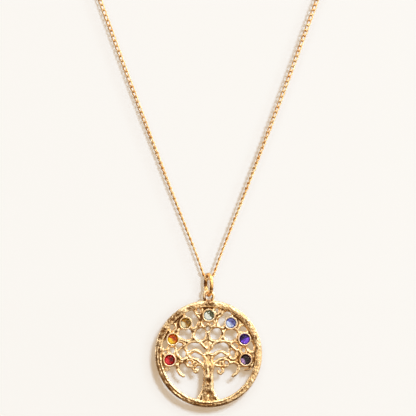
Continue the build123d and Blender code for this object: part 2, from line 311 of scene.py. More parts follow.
# each stone's angle, and its distance from the rim's middle in hundredths of the rim's radius
STONE_PLACES = {
    "red": (188.9, 73.6), "orange": (157.5, 72.2), "yellow": (126.5, 71.6),
    "green": (89.5, 72.3), "blue": (54.3, 71.4), "indigo": (22.5, 72.7), "purple": (-8.5, 70.0),
}
stone_middles = {}
for name, (turn, share) in STONE_PLACES.items():
    out = share * RIM_RADIUS / 100
    stone_middles[name] = (out * cos(radians(turn)), out * sin(radians(turn)))

raw = bmesh.new()
raw.from_mesh(nodes["pendant_frame"].data)
bmesh.ops.scale(raw, verts=raw.verts, vec=Vector((1, 1, 1)) / MM)
bmesh.ops.translate(raw, verts=raw.verts, vec=-RIM_CENTRE)
bmesh.ops.remove_doubles(raw, verts=raw.verts, dist=MERGE)
solid_mesh = bpy.data.meshes.new("casting_raw")
raw.to_mesh(solid_mesh)

# the outline of the openings, cut a hair off the middle of the casting's thickness
CUT_DEPTH = 0.013
OUTLINE_STEP = 0.05
SETTING_REACH = 1.2
RIM_EDGE = 0.1
cut = bmesh.ops.bisect_plane(raw, geom=raw.verts[:] + raw.edges[:] + raw.faces[:],
                             plane_co=(0, CUT_DEPTH, 0), plane_no=(0, 1, 0), dist=1e-5)
outline = []
for edge in cut["geom_cut"]:
    if not isinstance(edge, bmesh.types.BMEdge):
        continue
    first, last = (vertex.co for vertex in edge.verts)
    steps = max(1, int((last - first).length / OUTLINE_STEP))
    for number in range(steps):
        point = first.lerp(last, number / steps)
        at_rim_edge = hypot(point.x, point.z) > RIM_RADIUS - RIM_EDGE
        to_setting = min(hypot(point.x - sx, point.z - sz) for sx, sz in stone_middles.values())
        if not at_rim_edge and to_setting >= SETTING_REACH:
            outline.append((point.x, 0, point.z))
raw.free()
edges_tree = kdtree.KDTree(len(outline))
for number, point in enumerate(outline):
    edges_tree.insert(point, number)
edges_tree.balance()

# an even net of small faces over the whole casting
soft = bpy.data.objects.new("casting_soft", solid_mesh)
scene.collection.objects.link(soft)
remesh = soft.modifiers.new("even", "REMESH")
remesh.mode = "VOXEL"
remesh.voxel_size = VOXEL
remesh.adaptivity = 0
graph = bpy.context.evaluated_depsgraph_get()
cast_mesh = bpy.data.meshes.new_from_object(soft.evaluated_get(graph))
bpy.data.objects.remove(soft)

count = len(cast_mesh.vertices)
co = np.empty(count * 3)
cast_mesh.vertices.foreach_get("co", co)
co = co.reshape(-1, 3)
pairs = np.empty(len(cast_mesh.edges) * 2, int)
cast_mesh.edges.foreach_get("vertices", pairs)
pairs = pairs.reshape(-1, 2)
valence = np.bincount(pairs.ravel(), minlength=count)[:, None]


def relax(values, rounds, share=0.5):
    """Evens out a value at each vertex with its neighbours'."""
    for _ in range(rounds):
        total = np.zeros_like(values)
        np.add.at(total, pairs[:, 0], values[pairs[:, 1]])
        np.add.at(total, pairs[:, 1], values[pairs[:, 0]])
        values = values + share * (total / valence - values)
    return values


def ease(low, high, value):
    """Rises gently from 0 at the low value to 1 at the high one."""
    part = np.clip((value - low) / (high - low), 0, 1)
    return part * part * (3 - 2 * part)


def hump(value, middle, width):
    """A soft swelling, 1 at its middle."""
    return np.exp(-((value - middle) / width) ** 2)


def normals_of(mesh, coordinates):
    mesh.vertices.foreach_set("co", coordinates.ravel())
    mesh.update()
    found = np.empty(count * 3)
    mesh.vertices.foreach_get("normal", found)
    return found.reshape(-1, 3)


co = relax(co, 3)
x, y, z = co.T
outward = np.hypot(x, z)
angle = np.degrees(np.arctan2(z, x)) % 360
to_edge = np.array([edges_tree.find((px, 0, pz))[2] for px, pz in zip(x, z)])
to_stone = np.min([np.hypot(x - sx, z - sz) for sx, sz in stone_middles.values()], axis=0)

# round wires beside the openings, with a shallow channel where two of them run together
WIRE = 0.34
EDGE_HEIGHT = 0.32
# how far from the opening the channel starts and is at its deepest, in wires
CHANNEL_START = 1.15
CHANNEL_FLOOR = 1.9
CHANNEL_DEPTH = 0.32
DEEPER_AT_TOP = 0.1
TOP_START = (0.5, 2.5)
CROWN_END = (9.45, 9.75)
SETTING_EDGE = (1.38, 1.55)
LOOP_START = 11.2
TRUNK_X = -0.1
TRUNK_HALF = 1.35
TRUNK_TOP = (-2.2, -1.2)
TRUNK_FOOT = -10
in_crown = (1 - ease(*CROWN_END, outward)) * ease(*SETTING_EDGE, to_stone) * (outward < LOOP_START)
near = np.clip(to_edge / WIRE, 0, 1)
roundness = EDGE_HEIGHT + (1 - EDGE_HEIGHT) * np.sqrt(1 - (1 - near) ** 2)
channel_depth = CHANNEL_DEPTH + DEEPER_AT_TOP * ease(*TOP_START, z)
channel = 1 - channel_depth * ease(WIRE * CHANNEL_START, WIRE * CHANNEL_FLOOR, to_edge)
on_trunk = (np.abs(x - TRUNK_X) < TRUNK_HALF) * (1 - ease(*TRUNK_TOP, z)) * (z > TRUNK_FOOT)
channel = channel * (1 - on_trunk) + on_trunk
co[:, 1] = y * (1 - in_crown + in_crown * roundness * channel)
co = relax(co, 1)

# rim: a rounded band with a flat inner edge. At the left and bottom that edge is worn to a
# thin bright ridge, with a groove that comes and goes beside it
RIM_START = (9.5, 9.75)
RIM_TOP = 11.3
RIM_OUTSIDE = 11.02
RIM_SHOULDER = 0.55
SHOULDER_HEIGHT = 0.6
FLAT_START = (9.56, 9.74)
FLAT_END = (10.1, 10.3)
FLAT_DEPTH = 0.84
FLAT_SHARE = 0.85
RIDGE = (9.94, 0.11)
RIDGE_HEIGHT = 0.09
GROOVE_RADIUS = 10.24
GROOVE_WIDTH = 0.12
GROOVE_DEPTH = 0.13
GROOVE_WANDER = 0.16
GROOVE_FADE = (-0.3, 0.25)
WANDER_SCALE = 0.45
LEFT_START = (120, 160)
GROOVE_END = (285, 320)
RIDGE_END = (312, 332)
# how far from the middle plane a point counts as part of a face
FLAT_LEAST = 0.3
FACE_START = (0.25, 0.5)
# x, y and z are the array's own columns, so what changes them changes the casting
x, y, z = co.T
on_rim = ease(*RIM_START, outward) * (outward < RIM_TOP) * (z < RIM_TOP)
to_rim_edge = np.clip((RIM_OUTSIDE - outward) / RIM_SHOULDER, 0, 1)
bulge = SHOULDER_HEIGHT + (1 - SHOULDER_HEIGHT) * np.sqrt(1 - (1 - to_rim_edge) ** 2)
y *= 1 - on_rim + on_rim * bulge
flat = ease(*FLAT_START, outward) * (1 - ease(*FLAT_END, outward)) * (np.abs(y) > FLAT_LEAST)
y += flat * np.sign(y) * (FLAT_DEPTH - np.abs(y)) * FLAT_SHARE
along_rim = zip(x * WANDER_SCALE, z * WANDER_SCALE)
wander = np.array([noise.noise(Vector((px, pz, 2.5))) for px, pz in along_rim])
ridge = RIDGE_HEIGHT * hump(outward, *RIDGE)
ridge = ridge * ease(*LEFT_START, angle) * (1 - ease(*RIDGE_END, angle))
groove = GROOVE_DEPTH * ease(*GROOVE_FADE, wander)
groove = groove * hump(outward, GROOVE_RADIUS + GROOVE_WANDER * wander, GROOVE_WIDTH)
groove = groove * ease(*LEFT_START, angle) * (1 - ease(*GROOVE_END, angle))
face_side = np.sign(y) * ease(*FACE_START, np.abs(y))
y += face_side * on_rim * (ridge - groove)
normal = normals_of(cast_mesh, co)

# hammering: broad and fine blows on the rim, by how far each is drawn out along it, size and seed
HAMMER_RADIUS = 10.4
HAMMER_CLEAR = 1.4
BROAD_BLOW = (1.5, 0.85, 3.0)
FINE_BLOW = (1.3, 0.36, 9.0)
BROAD_DEPTH = 0.10
FINE_DEPTH = 0.12
BLOW_MIDDLE = 0.55
WARP = 0.55
WARP_SCALE = 0.7


def blows(index, stretch, size, seed):
    """Shallow dents that meet in low ridges: below 0 in the dents and above it between them."""
    along = radians(angle[index]) * HAMMER_RADIUS / (size * stretch)
    point = Vector((along, outward[index] / size, co[index, 1] / size + seed))
    slow = point * WARP_SCALE
    point += WARP * Vector((noise.noise(slow), noise.noise(slow + Vector((9.3, 1.5, 4.7))), 0))
    return min(1.0, noise.voronoi(point)[0][0]) - BLOW_MIDDLE


hammer = np.zeros(count)
for index in np.nonzero((on_rim > 0) & (to_stone > HAMMER_CLEAR))[0]:
    hammer[index] = BROAD_DEPTH * blows(index, *BROAD_BLOW) + FINE_DEPTH * blows(index, *FINE_BLOW)

# the casting's own roughness, its lumps, and the bark drawn out along the trunk
ROUGH_SCALE = 1.7
LUMP_SCALE = 1.1
BARK_SCALE = (2.6, 1.0, 0.8)
RIM_ROUGHNESS = 0.035
BRANCH_ROUGHNESS = 0.05
BRANCH_LUMPS = 0.05
TRUNK_ROUGHNESS = 0.04
BARK_HEIGHT = 0.1
TRUNK_SWELL = (-5.2, 1.6)
SWELL_HEIGHT = 0.12
rough = np.array([noise.fractal(Vector(point) * ROUGH_SCALE, 0.9, 2.1, 3) for point in co])
lumps = np.array([noise.noise(Vector(point) * LUMP_SCALE + Vector((7, 1, 3))) for point in co])
bark = np.array([noise.fractal(Vector(point * BARK_SCALE), 0.8, 2.1, 3) for point in co])
swell = SWELL_HEIGHT * hump(z, *TRUNK_SWELL)
shift = on_rim * (hammer + RIM_ROUGHNESS * rough)
shift += in_crown * (1 - on_trunk) * (BRANCH_ROUGHNESS * rough + BRANCH_LUMPS * lumps)
shift += on_trunk * in_crown * (BARK_HEIGHT * bark + TRUNK_ROUGHNESS * rough + swell)

# pits and hollows in the front, by place, size and depth
PITS = [
    (-6.0, -1.95, 0.28, 0.22), (-5.0, -1.55, 0.25, 0.16), (-6.4, -2.9, 0.22, 0.18),
    (2.7, 5.0, 0.24, 0.2), (2.75, 4.0, 0.22, 0.14), (-2.2, 8.05, 0.2, 0.14), (-1.7, 6.9, 0.26, 0.18),
    (2.35, 8.1, 0.24, 0.18), (1.8, 7.05, 0.24, 0.16), (-3.2, 4.5, 0.3, 0.2),
    (-0.15, -5.55, 0.5, 0.3), (-0.1, -7.9, 0.62, 0.22),
]
PIT_SPREAD = 0.6
PIT_SLOPE = 0.35
faces_front = (np.abs(normal[:, 1]) > PIT_SLOPE) * (y < 0)
for px, pz, size, depth in PITS:
    apart = (x - px) ** 2 + (z - pz) ** 2
    shift -= depth * np.exp(-apart / (2 * (size * PIT_SPREAD) ** 2)) * faces_front
co += normal * shift[:, None]

# the loop's eye reaches down to the rim
EYE_FOOT = (11.25, 0.25)
EYE_HALF = 0.55
EYE_DROP = 0.22
x, y, z = co.T
z -= EYE_DROP * hump(x, 0, EYE_HALF) * hump(z, *EYE_FOOT)

# the settings' own walls are spun separately, so here they shrink into the middle of the wall
WALL_EDGE = (1.36, 1.46)
WALL_MIDDLE = 1.245
WALL_SHARE = 0.4
WALL_DEPTHS = (-0.85, 0.4)
LEAST_AWAY = 0.01
for sx, sz in stone_middles.values():
    dx = x - sx
    dz = z - sz
    away = np.hypot(dx, dz)
    inside = 1 - ease(*WALL_EDGE, away)
    pulled = WALL_MIDDLE + (away - WALL_MIDDLE) * WALL_SHARE
    scale = 1 + inside * (pulled / np.maximum(away, LEAST_AWAY) - 1)
    x[:] = sx + dx * scale
    z[:] = sz + dz * scale
    y[:] = np.where(inside > 0, np.clip(y, *WALL_DEPTHS) * inside + y * (1 - inside), y)

# nothing stands out past the source's rim or depth
DEPTHS = (-0.98, 0.84)
OUTSIDE = 10.985
LOOP_FOOT = 10.9
co = relax(co, 1, 0.35)
co[:, 1] = np.clip(co[:, 1], *DEPTHS)
away = np.hypot(co[:, 0], co[:, 2])
too_far = (away > OUTSIDE) & (co[:, 2] < LOOP_FOOT)
co[too_far, 0] *= OUTSIDE / away[too_far]
co[too_far, 2] *= OUTSIDE / away[too_far]
normal = normals_of(cast_mesh, co)

# brown patches, partly stains and partly painted shade: on the rim by angle, radius and reach along and
# across
RIM_STAINS_AND_SHADE = [
    (13, 9.9, 0.5, 0.2, 0.8), (22, 9.85, 0.6, 0.25, 0.7), (39, 10.3, 0.9, 0.4, 0.6),
    (54, 9.93, 1.2, 0.18, 1.0), (66, 9.95, 1.0, 0.15, 0.9), (89, 10.35, 1.0, 0.4, 1.0),
    (111, 10.2, 0.7, 0.35, 0.75), (128, 10.4, 0.8, 0.5, 0.75), (137, 10.4, 0.9, 0.5, 1.0),
    (153, 10.4, 0.75, 0.55, 1.0), (160, 10.6, 0.5, 0.35, 0.8), (169, 10.6, 0.7, 0.3, 0.6),
    (177, 9.9, 0.35, 0.4, 1.0), (184, 10.7, 1.1, 0.3, 0.6), (196, 10.55, 1.3, 0.4, 0.5),
    (208, 10.45, 1.0, 0.4, 0.6), (220, 10.55, 0.9, 0.4, 1.0), (233, 10.75, 1.2, 0.25, 0.8),
    (243, 10.5, 1.0, 0.2, 0.6), (256, 10.55, 1.2, 0.45, 0.8), (269, 10.45, 1.4, 0.4, 0.9),
    (284, 10.65, 1.3, 0.22, 1.0), (302, 10.8, 1.4, 0.15, 0.8), (310, 10.0, 1.5, 0.13, 0.7),
    (325, 10.3, 0.6, 0.3, 0.5), (337, 9.95, 0.5, 0.25, 0.6), (349, 10.0, 0.6, 0.2, 0.6),
    # these last four are painted shade that dims the highlight on the outer band at the upper right
    (8, 10.7, 1.5, 0.45, 0.28), (28, 10.7, 2.0, 0.45, 0.32), (47, 10.7, 1.8, 0.45, 0.32),
    (66, 10.7, 1.6, 0.4, 0.24),
]
RIM_SPREAD = 0.8
stain_and_shade = np.zeros(count)
for at, radius, along, across, strength in RIM_STAINS_AND_SHADE:
    off = (angle - at + 180) % 360 - 180
    spread = (np.radians(off) * radius / along) ** 2 + ((outward - radius) / across) ** 2
    stain_and_shade = np.maximum(stain_and_shade, strength * np.exp(-RIM_SPREAD * spread))
# and on the tree, partly stains and partly painted shade in pits and crevices, by place, reach to the side
# and up, and strength
TREE_STAINS_AND_SHADE = [
    (-0.15, -5.65, 0.5, 0.75, 1.0), (-0.1, -7.95, 1.1, 0.45, 1.0), (-0.85, -7.4, 0.3, 0.5, 0.9),
    (-0.45, -3.7, 0.25, 0.6, 0.8), (0.4, -4.4, 0.22, 0.5, 0.7), (0.75, -8.3, 0.4, 0.3, 0.8),
    (-0.5, -6.7, 0.25, 0.4, 0.6), (0.35, -2.6, 0.3, 0.4, 0.6),
    (-0.75, 11.3, 0.3, 0.35, 1.0), (0.65, 11.45, 0.25, 0.4, 0.9),
    (-1.8, 7.05, 0.3, 0.4, 1.0), (-3.35, 4.65, 0.35, 0.3, 1.0), (-6.7, 4.6, 0.3, 0.3, 0.9),
    (-0.15, 3.95, 0.25, 0.45, 1.0), (-0.15, 5.2, 0.4, 0.55, 0.8), (2.8, 4.5, 0.2, 0.6, 1.0),
    (1.3, 1.65, 0.3, 0.25, 0.9), (2.1, 2.25, 0.35, 0.25, 0.9), (-0.85, 1.1, 0.22, 0.4, 0.9),
    (-5.2, 1.5, 0.25, 0.3, 0.9), (4.4, 1.55, 0.22, 0.4, 0.9), (-1.2, -4.9, 0.24, 1.5, 1.0),
    (-5.0, -1.75, 0.5, 0.25, 0.9), (-5.9, -2.3, 0.25, 0.3, 0.9), (5.15, -2.6, 0.25, 0.3, 0.8),
    (1.0, -9.0, 0.5, 0.3, 0.9), (0.3, -5.3, 0.3, 0.7, 0.7), (-0.2, -6.5, 0.8, 0.25, 0.7),
    (-0.9, -8.6, 0.25, 0.6, 0.9), (-2.1, 5.8, 0.25, 0.4, 1.0), (-2.4, 7.2, 0.25, 0.35, 1.0),
    (-6.55, 2.9, 0.25, 0.35, 1.0), (-0.1, 2.6, 0.22, 0.4, 0.8), (-4.6, 2.3, 0.35, 0.22, 0.9),
    (-6.6, -2.75, 0.25, 0.3, 1.0), (8.1, -3.6, 0.45, 0.25, 1.0), (5.5, -4.6, 0.25, 0.3, 1.0),
    (6.5, -0.3, 0.3, 0.25, 0.8), (9.75, 3.4, 0.22, 0.5, 1.0), (9.85, 1.0, 0.22, 0.5, 0.9),
    (-0.1, 5.35, 0.3, 0.45, 1.0), (-10.2, 0.6, 0.3, 0.5, 1.0), (0.5, -3.3, 0.45, 0.9, 0.55),
]
for px, pz, wide, high, strength in TREE_STAINS_AND_SHADE:
    stain_and_shade = np.maximum(stain_and_shade, strength * hump(x, px, wide) * hump(z, pz, high))


def mark_wear_and_shade(mesh, name, values):
    """Keeps a value at each vertex, for the plating to read as wear, stains or painted shade."""
    layer = mesh.attributes.new(name, "FLOAT", "POINT")
    layer.data.foreach_set("value", np.asarray(values, np.float32))


def hollows(rounds, depth):
    """How far each vertex lies in a hollow, 0.5 where the metal is flat."""
    below = ((relax(co, rounds) - co) * normal).sum(1) / depth
    return np.clip(0.5 + 0.5 * below, 0, 1)


HOLLOW_DEPTH = 0.06
CREASE_DEPTH = 0.012
# the stain marks are partly real stains and partly painted shade
mark_wear_and_shade(cast_mesh, "stain_and_shade", stain_and_shade)
mark_wear_and_shade(cast_mesh, "hollow", hollows(12, HOLLOW_DEPTH))
mark_wear_and_shade(cast_mesh, "crease", hollows(2, CREASE_DEPTH))
cast_mesh.transform(Matrix.Translation(RIM_CENTRE))
casting = keep("tree_casting", cast_mesh, "pendant", ["pendant_frame"])


def group(name, inputs, outputs):
    """A node group with vector, number and colour sockets, and its two ends."""
    made = bpy.data.node_groups.new(name, "ShaderNodeTree")
    kinds = {"v": "NodeSocketVector", "f": "NodeSocketFloat", "c": "NodeSocketColor"}
    for sockets, direction in ((inputs, "INPUT"), (outputs, "OUTPUT")):
        for socket, kind in sockets:
            made.interface.new_socket(socket, in_out=direction, socket_type=kinds[kind])
    return made, made.nodes.new("NodeGroupInput").outputs, made.nodes.new("NodeGroupOutput").inputs


def noise_node(tree, vector, scale, detail=3.0, roughness=0.55):
    node = tree.nodes.new("ShaderNodeTexNoise")
    node.inputs["Scale"].default_value = scale
    node.inputs["Detail"].default_value = detail
    node.inputs["Roughness"].default_value = roughness
    tree.links.new(vector, node.inputs["Vector"])
    return node.outputs["Fac"]


# plating: warmer where it is thick, lemon where it is rubbed, brown in the hollows, creases and stains,
# which is partly patina and stain and partly painted shade
THICK_GOLD = (0.86, 0.54, 0.24, 1)
THIN_GOLD = (0.92, 0.74, 0.48, 1)
RUBBED_GOLD = (0.96, 0.80, 0.54, 1)
SPECK_BROWN = (0.62, 0.34, 0.12, 1)
SHADE_AND_STAIN_BROWN = (0.20, 0.09, 0.028, 1)
plating, given, result = group(
    "plating", [("Where", "v"), ("Hollow", "f"), ("Crease", "f"), ("Stain_And_Shade", "f")],
    [("Color", "c"), ("Roughness", "f"), ("Height", "f")])
patch = noise_node(plating, given["Where"], 420, 3)
speck = noise_node(plating, given["Where"], 2600, 4, 0.65)
brushed = noise_node(plating, given["Where"], 9000, 2)
blot = remap(plating, noise_node(plating, given["Where"], 3300, 3, 0.6), 0.39, 0.49)

# the brown in hollows and creases is partly patina and dirt and partly painted shade
in_hollow = remap(plating, given["Hollow"], 0.60, 0.98)
in_crease = remap(plating, given["Crease"], 0.62, 0.98, 0, 0.5)
dirt_and_shade = math_node(plating, "ADD", in_hollow, in_crease)
dirt_and_shade = math_node(plating, "MULTIPLY", dirt_and_shade, remap(plating, speck, 0.3, 0.62, 0.45, 1.0))
blotted = math_node(plating, "MULTIPLY", remap(plating, given["Stain_And_Shade"], 0.12, 0.5), blot)
solid = remap(plating, given["Stain_And_Shade"], 0.7, 0.95)
dirt_and_shade = math_node(plating, "MAXIMUM", dirt_and_shade, math_node(plating, "MAXIMUM", blotted, solid))

tone = mix(plating, remap(plating, patch, 0.35, 0.65), THICK_GOLD, THIN_GOLD)
tone = mix(plating, remap(plating, speck, 0.5, 0.64, 0, 0.75), tone, SPECK_BROWN)
tone = mix(plating, remap(plating, given["Hollow"], 0.46, 0.16), tone, RUBBED_GOLD)
feed(plating, result["Color"], mix(plating, dirt_and_shade, tone, SHADE_AND_STAIN_BROWN))
dull_dirt_and_shade = math_node(plating, "MULTIPLY", dirt_and_shade, 0.25)
worn_gloss = remap(plating, speck, 0.3, 0.7, 0.12, 0.26)
feed(plating, result["Roughness"], math_node(plating, "ADD", worn_gloss, dull_dirt_and_shade))
grain = math_node(plating, "MULTIPLY", speck, 0.8)
scratches = math_node(plating, "MULTIPLY", brushed, 0.2)
feed(plating, result["Height"], math_node(plating, "ADD", grain, scratches))

BUMP_HEIGHT = 0.00009
FLAT_METAL = 0.5


def gold(name, bump, tint=None, dull=0.0, worn_or_shaded=False):
    """Gold plate over brass. Only a piece with marks has hollows, creases and stains to read; they darken it
    with stains and patina and with painted shade.
    """
    material = bpy.data.materials.new(name)
    material.use_nodes = True
    tree = material.node_tree
    shader = tree.nodes["Principled BSDF"]
    shader.inputs["Metallic"].default_value = 1.0
    coords = tree.nodes.new("ShaderNodeTexCoord")
    finish = tree.nodes.new("ShaderNodeGroup")
    finish.node_tree = plating
    feed(tree, finish.inputs["Where"], coords.outputs["Object"])
    for socket, plain in (("Hollow", FLAT_METAL), ("Crease", FLAT_METAL), ("Stain_And_Shade", 0.0)):
        value = plain
        if worn_or_shaded:
            reader = tree.nodes.new("ShaderNodeAttribute")
            reader.attribute_name = socket.lower()
            value = reader.outputs["Fac"]
        feed(tree, finish.inputs[socket], value)
    colour = finish.outputs["Color"]
    if tint:
        colour = mix(tree, 1.0, colour, tint, "MULTIPLY")
    feed(tree, shader.inputs["Base Color"], colour)
    roughness = math_node(tree, "ADD", finish.outputs["Roughness"], dull)
    feed(tree, shader.inputs["Roughness"], roughness)
    bumps = tree.nodes.new("ShaderNodeBump")
    bumps.inputs["Strength"].default_value = bump
    bumps.inputs["Distance"].default_value = BUMP_HEIGHT
    feed(tree, bumps.inputs["Height"], finish.outputs["Height"])
    feed(tree, shader.inputs["Normal"], bumps.outputs["Normal"])
    return material


casting.data.materials.append(gold("cast_gold", 0.8, worn_or_shaded=True))

# Stone settings
# Seven plain cups with a burnished lip, turned from the same metal and cast on. The lip
# folds in over the edge of each stone.
CUP_STEPS = 48
# radius and depth, from the back of the wall over the lip and down the bore
CUP_PROFILE = [
    (1.36, 0.42), (1.375, -0.1), (1.385, -0.7), (1.375, -0.86), (1.33, -0.955), (1.25, -0.99),
    (1.16, -0.97), (1.09, -0.91), (1.055, -0.84), (1.075, -0.76), (1.11, -0.66), (1.11, -0.22),
    (0.90, -0.16), (0.875, -0.05), (0.88, 0.40), (0.95, 0.485), (1.28, 0.49),
]
cups = bmesh.new()
for sx, sz in stone_middles.values():
    cup = [cups.verts.new((sx + radius, depth, sz)) for radius, depth in CUP_PROFILE]
    loop_edges = [cups.edges.new(pair) for pair in zip(cup, cup[1:] + cup[:1])]
    bmesh.ops.spin(cups, geom=cup + loop_edges, cent=(sx, 0, sz), axis=(0, 1, 0), angle=tau,
                   steps=CUP_STEPS, use_merge=True)
bmesh.ops.recalc_face_normals(cups, faces=cups.faces)
bmesh.ops.translate(cups, verts=cups.verts, vec=RIM_CENTRE)
settings = keep("stone_settings", cups, "pendant", ())
settings.data.materials.append(gold("burnished_gold", 0.1, (1.06, 1.22, 1.55, 1)))

# Stones
# Small round glass stones as the source cuts them, with a flat table and two rows of facets.
# Their pointed backs are foiled; the foil reflects, and it also glows with painted light, bright on one side
# and dark on the other, for the light it throws back out of the front.
painted_foil_light, given, result = group(
    "painted_foil_light", [("Where", "v"), ("Middle", "v"), ("Glow Side", "v"), ("Reach", "f"), ("Dark", "c"),
                   ("Body", "c"), ("Glow", "c")],
    [("Color", "c"), ("Lip Shade", "f")])
from_middle = vector_node(painted_foil_light, "SUBTRACT", given["Where"], given["Middle"])
sideways = vector_node(painted_foil_light, "MULTIPLY", from_middle, (1, 0, 1))
away = vector_node(painted_foil_light, "LENGTH", sideways)

# painted light and shade on the foil: a painted glow on one side, painted shade on the other, round the edge
# and at the point
toward_glow = vector_node(painted_foil_light, "DOT_PRODUCT", sideways, given["Glow Side"])
facet = noise_node(painted_foil_light, vector_node(painted_foil_light, "NORMALIZE", sideways), 2.6, 1)
uneven_facets = remap(painted_foil_light, facet, 0.3, 0.7, -0.3 * MM, 0.3 * MM)
toward_glow = math_node(painted_foil_light, "ADD", toward_glow, uneven_facets)
edge_shade = remap(painted_foil_light, away, 0.7 * MM, 1.0 * MM, 0, 0.7 * MM)
toward_glow = math_node(painted_foil_light, "SUBTRACT", toward_glow, edge_shade)
toward_glow = math_node(painted_foil_light, "ADD", toward_glow, given["Reach"])
in_body = remap(painted_foil_light, toward_glow, -0.6 * MM, 0.1 * MM)
in_glow = remap(painted_foil_light, toward_glow, 0.2 * MM, 0.45 * MM)
shade = mix(painted_foil_light, in_body, given["Dark"], given["Body"])
shade = mix(painted_foil_light, in_glow, shade, given["Glow"])
behind = math_node(painted_foil_light, "ADD", given["Reach"], 0.18 * MM)
point_place = vector_node(painted_foil_light, "SCALE", given["Glow Side"], behind)
off_point = vector_node(painted_foil_light, "LENGTH", vector_node(painted_foil_light, "ADD", sideways, point_place))
off_point = remap(painted_foil_light, off_point, 0.18 * MM, 0.4 * MM)
feed(painted_foil_light, result["Color"], mix(painted_foil_light, off_point, given["Dark"], shade))
# painted shade from the setting's lip: a thin dark line round the front of the stone
feed(painted_foil_light, result["Lip Shade"], remap(painted_foil_light, away, 0.82 * MM, 0.97 * MM, 0, 0.92))

# glass, dark, body and glow colours, the angle where the glow lies and how far it reaches; dark, body and
# glow are the foil's painted shade and painted light
STONE_LOOKS = {
    "red": ((1.0, 0.4, 0.4), (0.05, 0.0, 0.001), (0.38, 0.004, 0.008), (1.0, 0.08, 0.11), 212, 0.12),
    "orange": ((1.0, 0.8, 0.55), (0.20, 0.025, 0.0), (0.52, 0.09, 0.008), (1.0, 0.93, 0.07), 226, 0.14),
    "yellow": ((1.0, 0.94, 0.66), (0.09, 0.04, 0.003), (0.42, 0.21, 0.022), (1.0, 1.0, 0.8), 220, 0.1),
    "green": ((0.95, 1.0, 0.9), (0.03, 0.032, 0.012), (0.10, 0.10, 0.05), (1.0, 1.0, 0.96), 222, 0.37),
    "blue": ((0.85, 0.9, 1.0), (0.06, 0.055, 0.16), (0.17, 0.18, 0.44), (0.9, 0.98, 1.0), 222, 0.2),
    "indigo": ((0.75, 0.7, 1.0), (0.008, 0.003, 0.015), (0.03, 0.012, 0.10), (0.36, 0.14, 1.0), 314, 0.24),
    "purple": ((0.85, 0.75, 0.9), (0.008, 0.003, 0.006), (0.025, 0.009, 0.018), (0.95, 0.62, 1), 230, -0.09),
}
GLASS_IOR = 1.48
# the foil glows with painted light, though it is no lamp
FOIL_GLOW = 0.64
# how far a face has to look backwards to be foiled
BACKWARDS = 0.2
# the source's triangles that lie this close to one plane are one facet
SAME_FACET = radians(1)


def stone_light(tree, name):
    """The foil's painted light and shade behind the stone of this name."""
    _, dark, body, glow, glow_angle, reach = STONE_LOOKS[name]
    coords = tree.nodes.new("ShaderNodeTexCoord")
    light = tree.nodes.new("ShaderNodeGroup")
    light.node_tree = painted_foil_light
    tree.links.new(coords.outputs["Object"], light.inputs["Where"])
    sx, sz = stone_middles[name]
    light.inputs["Middle"].default_value = (sx * MM, 0, (sz + RIM_CENTRE.z) * MM)
    light.inputs["Glow Side"].default_value = (cos(radians(glow_angle)), 0, sin(radians(glow_angle)))
    light.inputs["Reach"].default_value = reach * MM
    for socket, colour in (("Dark", dark), ("Body", body), ("Glow", glow)):
        light.inputs[socket].default_value = (*colour, 1)
    return light.outputs


def glass(name):
    """Clear coloured glass, for the front of the stone, with the lip's shade painted round its edge."""
    material = bpy.data.materials.new("glass_" + name)
    material.use_nodes = True
    tree = material.node_tree
    shader = tree.nodes["Principled BSDF"]
    colour, dark, *_ = STONE_LOOKS[name]
    lip_shade = stone_light(tree, name)["Lip Shade"]
    feed(tree, shader.inputs["Base Color"], mix(tree, lip_shade, (*colour, 1), (*dark, 1)))
    shader.inputs["Roughness"].default_value = 0.01
    shader.inputs["IOR"].default_value = GLASS_IOR
    shader.inputs["Transmission Weight"].default_value = 1.0
    return material


def foil(name):
    """Bright coloured foil, for the pointed back of the stone, glowing with painted light."""
    material = bpy.data.materials.new("foil_" + name)
    material.use_nodes = True
    tree = material.node_tree
    shader = tree.nodes["Principled BSDF"]
    shader.inputs["Roughness"].default_value = 0.1
    shader.inputs["Metallic"].default_value = 1.0
    shader.inputs["Emission Strength"].default_value = FOIL_GLOW
    light = stone_light(tree, name)["Color"]
    feed(tree, shader.inputs["Base Color"], light)
    feed(tree, shader.inputs["Emission Color"], light)
    return material


for name in STONE_LOOKS:
    facets = bmesh.new()
    facets.from_mesh(nodes["stone_" + name].data)
    bmesh.ops.scale(facets, verts=facets.verts, vec=Vector((1, 1, 1)) / MM)
    bmesh.ops.remove_doubles(facets, verts=facets.verts, dist=MERGE)
    bmesh.ops.dissolve_limit(facets, angle_limit=SAME_FACET, verts=facets.verts, edges=facets.edges)
    for face in facets.faces:
        face.material_index = int(face.normal.y > BACKWARDS)
    stone = keep("cut_stone_" + name, facets, "pendant", ["stone_" + name], False)
    stone.data.materials.append(glass(name))
    stone.data.materials.append(foil(name))

